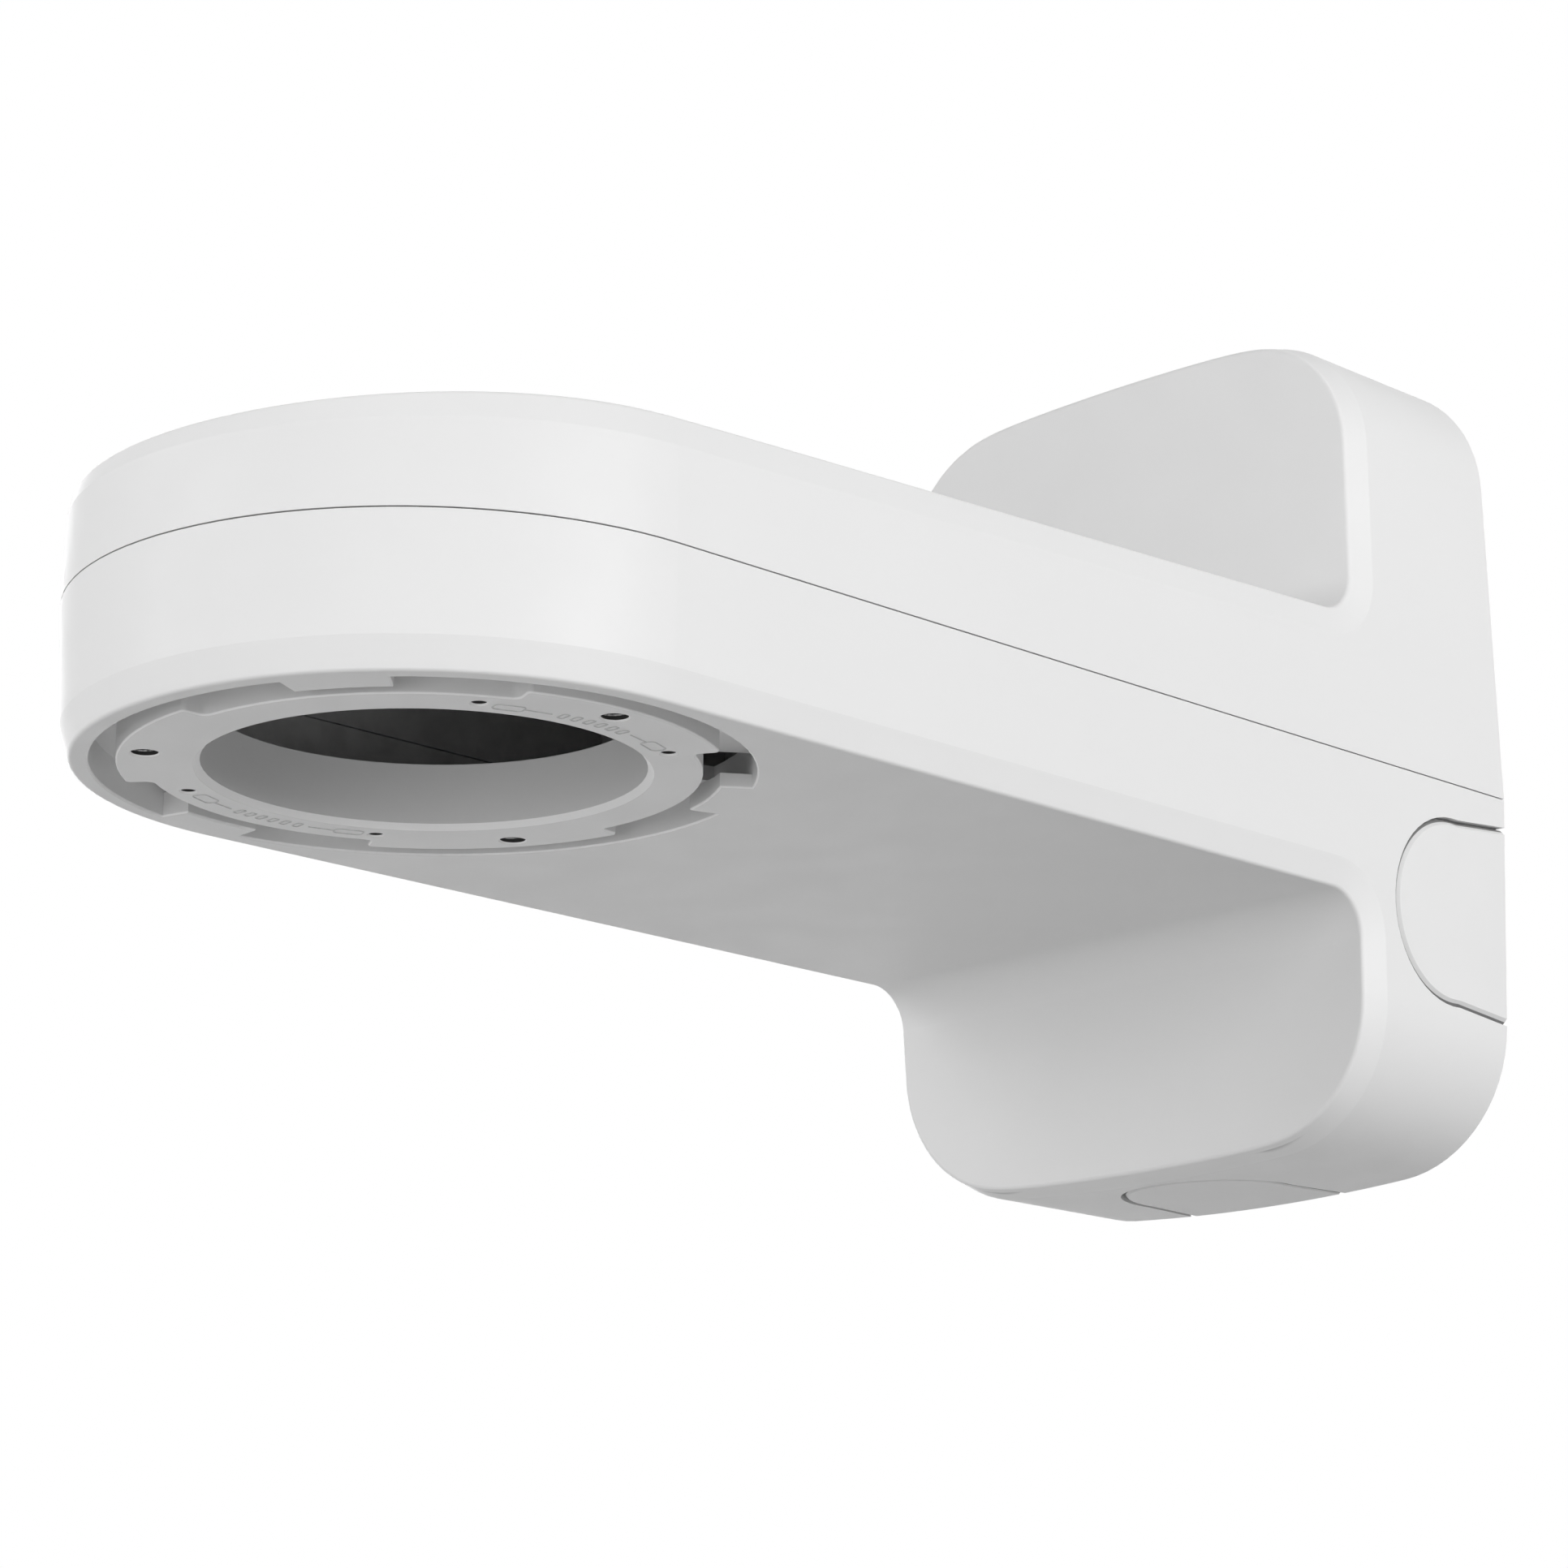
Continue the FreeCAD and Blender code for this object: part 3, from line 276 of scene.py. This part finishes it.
thread = Growth("thread", Radius=0.0025, Pitch=0.0008, Turns=13.0, Ridge=0.0003)
helix = thread.node("GeometryNodeCurveSpiral", inputs={
    "Resolution": 36, "Rotations": thread.size("Turns"), "Start Radius": thread.size("Radius"),
    "End Radius": thread.size("Radius"), "Height": thread.size("Turns") * thread.size("Pitch")})
ridge = thread.beads(helix, thread.size("Ridge"), 6, caps=True)
thread.close(thread.node("GeometryNodeInstanceOnPoints",
                         inputs={"Points": Value(thread, thread.entry.outputs["Geometry"]), "Instance": ridge}),
             bare.material)
thread_start = 0.0008
thread.grow("camera_threads", "painted_casting", [(a, b, c + thread_start) for a, b, c in camera_holes])
thread.grow("adapter_threads", "painted_casting", [(a, b, c + thread_start) for a, b, c in adapter_holes],
            Radius=0.0014, Turns=11.0, Ridge=0.0002)


# Fitting marks on the collar, between the adapter holes: plain outlines, dashes and a row of bars.
# They are fine raised lines of the casting, and the coat lies thinner and greyer over them.
marks = Material("coat_over_fine_marks")
marks.shade(Base_Color=marks.blend(marks.noise(0.001).ramp(0.3, 0.7), grey(0.50), grey(0.60)), Roughness=0.5,
            Normal=marks.bump(marks.noise(0.0005), 0.00001))


def mark_row(name, curve_kind, curve_inputs, rounding):
    """A tree for a row of like marks on an arc about the head's axis."""
    row = Growth(name, Count=1, Radius=0.0468, Middle=0.0, Step=0.0, Line=0.00016)
    curve = row.node(curve_kind, inputs=curve_inputs)
    if rounding:
        curve = row.node("GeometryNodeFilletCurve", {"mode": "POLY"}, {"Curve": curve, "Count": 4, "Radius": rounding})
    middle_index = (row.size("Count") - 1.0) * 0.5
    turn = row.size("Middle") + (row.node("GeometryNodeInputIndex") - middle_index) * row.size("Step")
    spot = row.node("ShaderNodeCombineXYZ", inputs={"X": turn.math("COSINE") * row.size("Radius"),
                                                    "Y": turn.math("SINE") * row.size("Radius") + head_y,
                                                    "Z": underside_z})
    spots = row.node("GeometryNodePoints", inputs={"Count": row.size("Count"), "Position": spot})
    facing = row.node("ShaderNodeCombineXYZ", inputs={"Z": turn})
    line = row.beads(curve, row.size("Line"), 8, caps=not rounding)
    row.close(row.node("GeometryNodeInstanceOnPoints", inputs={"Points": spots, "Instance": line,
                                                               "Rotation": facing}), marks.material)
    return row


outlines = mark_row("outline_marks", "GeometryNodeCurvePrimitiveQuadrilateral", {"Width": 0.0030, "Height": 0.0058},
                    0.0010)
bars = mark_row("bar_marks", "GeometryNodeCurvePrimitiveQuadrilateral", {"Width": 0.0026, "Height": 0.0013}, 0.0004)
dashes = mark_row("dash_marks", "GeometryNodeCurvePrimitiveLine",
                  {"Start": (0.0, -0.0027, 0.0), "End": (0.0, 0.0027, 0.0)}, 0.0)
for side, turn in (("right", 0.0), ("left", math.pi)):
    outlines.grow("mark_outlines_" + side, "painted_casting", [(0.0, 0.0, 0.0)], Count=2, Middle=turn,
                  Step=math.radians(44.0))
    dashes.grow("mark_dashes_" + side, "painted_casting", [(0.0, 0.0, 0.0)], Count=2, Middle=turn,
                Step=math.radians(30.0))
    bars.grow("mark_bars_" + side, "painted_casting", [(0.0, 0.0, 0.0)], Count=6, Middle=turn,
              Step=math.radians(3.5))


# Rubber that keeps the weather out: the cord in the seam, the gaskets under the plugs and the cable
# grommet, all moulded in matt black. The grommet's membrane has rings to cut along for a cable.
rubber = Material("black_moulded_rubber")
bloom = rubber.noise(0.009, detail=4.0).ramp(0.35, 0.75)
rubber.shade(Base_Color=rubber.blend(bloom, (0.022, 0.022, 0.023, 1.0), (0.050, 0.050, 0.050, 1.0)),
             Roughness=bloom * 0.12 + 0.66, Specular_IOR_Level=0.35,
             Normal=rubber.bump(rubber.noise(0.0005), 0.00002))
coat(rubber.material, "seam_seal", "cable_grommet", "conduit_seal_right", "conduit_seal_left",
     "conduit_seal_bottom")

rings = Growth("membrane_rings", Count=4, First=0.0035, Step=0.0042, Bead=0.00045)
ring_radius = rings.node("GeometryNodeInputIndex") * rings.size("Step") + rings.size("First")
ring = rings.node("GeometryNodeCurvePrimitiveCircle", inputs={"Resolution": 96, "Radius": 1.0})
ring_spots = rings.node("GeometryNodePoints", inputs={"Count": rings.size("Count")})
ring_rows = rings.node("GeometryNodeInstanceOnPoints", inputs={"Points": ring_spots, "Instance": ring,
                                                               "Scale": ring_radius})
ring_curves = rings.node("GeometryNodeRealizeInstances", inputs={"Geometry": ring_rows})
bead = rings.beads(ring_curves, rings.size("Bead"), 8)
upright = rings.node("GeometryNodeTransform", inputs={"Geometry": bead, "Rotation": (math.pi / 2, 0.0, 0.0)})
rings.close(rings.node("GeometryNodeInstanceOnPoints",
                       inputs={"Points": Value(rings, rings.entry.outputs["Geometry"]), "Instance": upright}),
            rubber.material)
membrane_back = -0.0062
membrane_front = -0.0074
rings.grow("grommet_rings", "black_rubber", [(0.0, membrane_back, 0.0), (0.0, membrane_front, 0.0)])


# Conduit plugs: three snap-in covers, injection-moulded in white plastic with a fine eroded texture.
# They match the coat, and a shade of difference shows only close up. The groove round them is painted dark as painted
# shade.
plastic = Material("white_moulded_plastic")
grain = plastic.noise(0.0007, detail=3.0)
# Painted shade: where the plug lies deeper than the outer face, near the casting, it is painted dark grey.
groove_painted_shade = under_box_face(*plastic.parts(plastic.place)).ramp(0.00058, 0.00070)
plain = plastic.blend(plastic.noise(0.03).ramp(0.3, 0.7), grey(0.790), grey(0.805))
plastic.shade(Base_Color=plastic.blend(groove_painted_shade, plain, grey(0.22)),
              Roughness=grain.ramp(0.3, 0.7, 0.46, 0.56), Specular_IOR_Level=0.35,
              Normal=plastic.bump(grain, 0.000012))
coat(plastic.material, "conduit_cover_right", "conduit_cover_left", "conduit_cover_bottom")


# Closing screws, their washers, the two dowels and the small fittings' screws: plain stainless steel,
# turned or rolled, so the marks run round the upright axis.
steel = Material("turned_stainless_steel")
turning = steel.noise(0.0006, detail=3.0, place=steel.stretched(0.12, 0.12, 1.0))
steel.shade(Base_Color=steel.blend(turning.ramp(0.3, 0.7), grey(0.50), grey(0.64)), Metallic=1.0,
            Roughness=turning.ramp(0.3, 0.7, 0.24, 0.40), Normal=steel.bump(turning, 0.00001))
coat(steel.material, "cover_screws", "cover_screw_washers", "locating_pins", "anchor_screw",
     "cable_clamp_screw", "earth_washer")


# Plugs over the sunk screw heads: soft light-grey rubber, pressed in flush with the sloping top face.
top_rubber = Material("pale_soft_rubber")
speck = top_rubber.noise(0.0018, detail=3.0)
top_rubber.shade(Base_Color=top_rubber.blend(speck.ramp(0.35, 0.7), grey(0.66), grey(0.72)), Roughness=0.72,
                 Specular_IOR_Level=0.35, Normal=top_rubber.bump(speck, 0.00004))
coat(top_rubber.material, "screw_hole_plugs")


# Wall gasket: a frame cut from a sheet of dark closed-cell foam, squeezed between plate and wall.
foam = Material("closed_cell_foam")
cells = foam.node("ShaderNodeTexVoronoi", inputs={"Vector": foam.place, "Scale": 1.0 / 0.0011}, output="Distance")
foam.shade(Base_Color=foam.blend(cells.ramp(0.1, 0.6), (0.020, 0.020, 0.021, 1.0), (0.075, 0.075, 0.078, 1.0)),
           Roughness=cells.ramp(0.1, 0.6, 0.82, 0.96), Normal=foam.bump(cells, 0.00025))
coat(foam.material, "wall_gasket")


# Safety-wire anchor: stainless sheet, punched and bent. The rolling grain runs along the strip.
sheet = Material("rolled_stainless_sheet")
rolling = sheet.noise(0.0004, detail=4.0, place=sheet.stretched(1.0, 0.06, 0.06))
sheet.shade(Base_Color=sheet.blend(rolling.ramp(0.3, 0.7), grey(0.48), grey(0.62)), Metallic=1.0,
            Roughness=rolling.ramp(0.3, 0.7, 0.28, 0.46), Normal=sheet.bump(rolling, 0.000008))
coat(sheet.material, "safety_wire_anchor")


# Earth terminal: a brass screw, slightly browned, over a toothed steel washer.
brass = Material("earth_screw_brass")
tarnish = brass.noise(0.003, detail=4.0).ramp(0.35, 0.75)
brass.shade(Base_Color=brass.blend(tarnish, (0.74, 0.56, 0.27, 1.0), (0.50, 0.34, 0.15, 1.0)), Metallic=1.0,
            Roughness=tarnish * 0.18 + 0.26, Normal=brass.bump(brass.noise(0.0006), 0.00001))
coat(brass.material, "earth_screw")


# Cable clamp: a strap moulded in black nylon, with the faint grain of its mould.
nylon = Material("black_moulded_nylon")
mould = nylon.noise(0.0006, detail=3.0)
nylon.shade(Base_Color=nylon.blend(mould.ramp(0.3, 0.7), grey(0.026), grey(0.044)), Specular_IOR_Level=0.4,
            Roughness=mould.ramp(0.3, 0.7, 0.42, 0.56), Normal=nylon.bump(mould, 0.00002))
coat(nylon.material, "cable_clamp")


# Studio: a plain pale floor far below the bracket, a soft light overhead and five large soft lamps.
# Floor and surround look white to the camera and in gloss, and light the bracket at a plain level.
def seen_directly(tree):
    """1 for camera, glossy and transmission rays, 0 for the light that falls on the bracket."""
    camera_ray, glossy_ray, through_ray = [tree.node("ShaderNodeLightPath", output=kind) for kind in (
        "Is Camera Ray", "Is Glossy Ray", "Is Transmission Ray")]
    return camera_ray.at_least(glossy_ray).at_least(through_ray)


floor_z = -0.60
bpy.ops.mesh.primitive_plane_add(size=8.0, location=(0, 0, floor_z))
floor = bpy.context.object
floor.name = "floor"
floor_paint = Material("pale_floor")
seen = seen_directly(floor_paint)
floor_paint.shade(Base_Color=floor_paint.blend(seen, grey(0.45), grey(0.85)), Roughness=0.9,
                  Emission_Color=floor_paint.blend(seen, grey(0.0), grey(0.35)), Emission_Strength=1.0)
floor.data.materials.append(floor_paint.material)

world = bpy.data.worlds.new("surround")
bpy.context.scene.world = world
world.use_nodes = True
sky = Tree(world.node_tree)
height = sky.parts(sky.node("ShaderNodeTexCoord", output="Generated"))[2]
overhead = 0.5
soft_light = height.ramp(0.74, 0.90, 0.0, overhead)
white = seen_directly(sky)
strength = soft_light * (1 - white) + white
sky.feed(sky.nodes["Background"].inputs["Strength"], strength)
sky.feed(sky.nodes["Background"].inputs["Color"], grey(1.0))

lamp_target = Vector((0.0, -0.15, -0.05))
lamp_distance, lamp_size = 1.8, 1.2
for lamp_name, turn, rise, watts in (("front", -45.0, 12.0, 5.7), ("right", 10.0, 15.0, 23.4),
                                     ("left", -115.0, 15.0, 13.3), ("back_left", 150.0, 15.0, 16.7),
                                     ("low", -80.0, -12.0, 11.1)):
    turn, rise = math.radians(turn), math.radians(rise)
    towards = Vector((math.cos(turn) * math.cos(rise), math.sin(turn) * math.cos(rise), math.sin(rise)))
    lamp = bpy.data.lights.new(lamp_name, "AREA")
    lamp.size = lamp_size
    lamp.energy = watts
    holder = bpy.data.objects.new(lamp_name, lamp)
    bpy.context.scene.collection.objects.link(holder)
    holder.location = lamp_target + towards * lamp_distance
    holder.rotation_euler = towards.to_track_quat("Z", "Y").to_euler()

# Camera: where the photograph was taken, below the arm and in front of its right side.
lens = bpy.data.cameras.new("camera")
lens.lens = 99.43
lens.sensor_width = 36.0
lens.shift_x = 0.0044
lens.shift_y = 0.0417
camera = bpy.data.objects.new("camera", lens)
bpy.context.scene.collection.objects.link(camera)
camera.location = (0.59606, -0.75002, -0.28524)
camera.rotation_euler = (math.pi / 2 + math.radians(14.47), 0.0, math.radians(45.0))
bpy.context.scene.camera = camera
bpy.context.scene.view_settings.view_transform = "Standard"
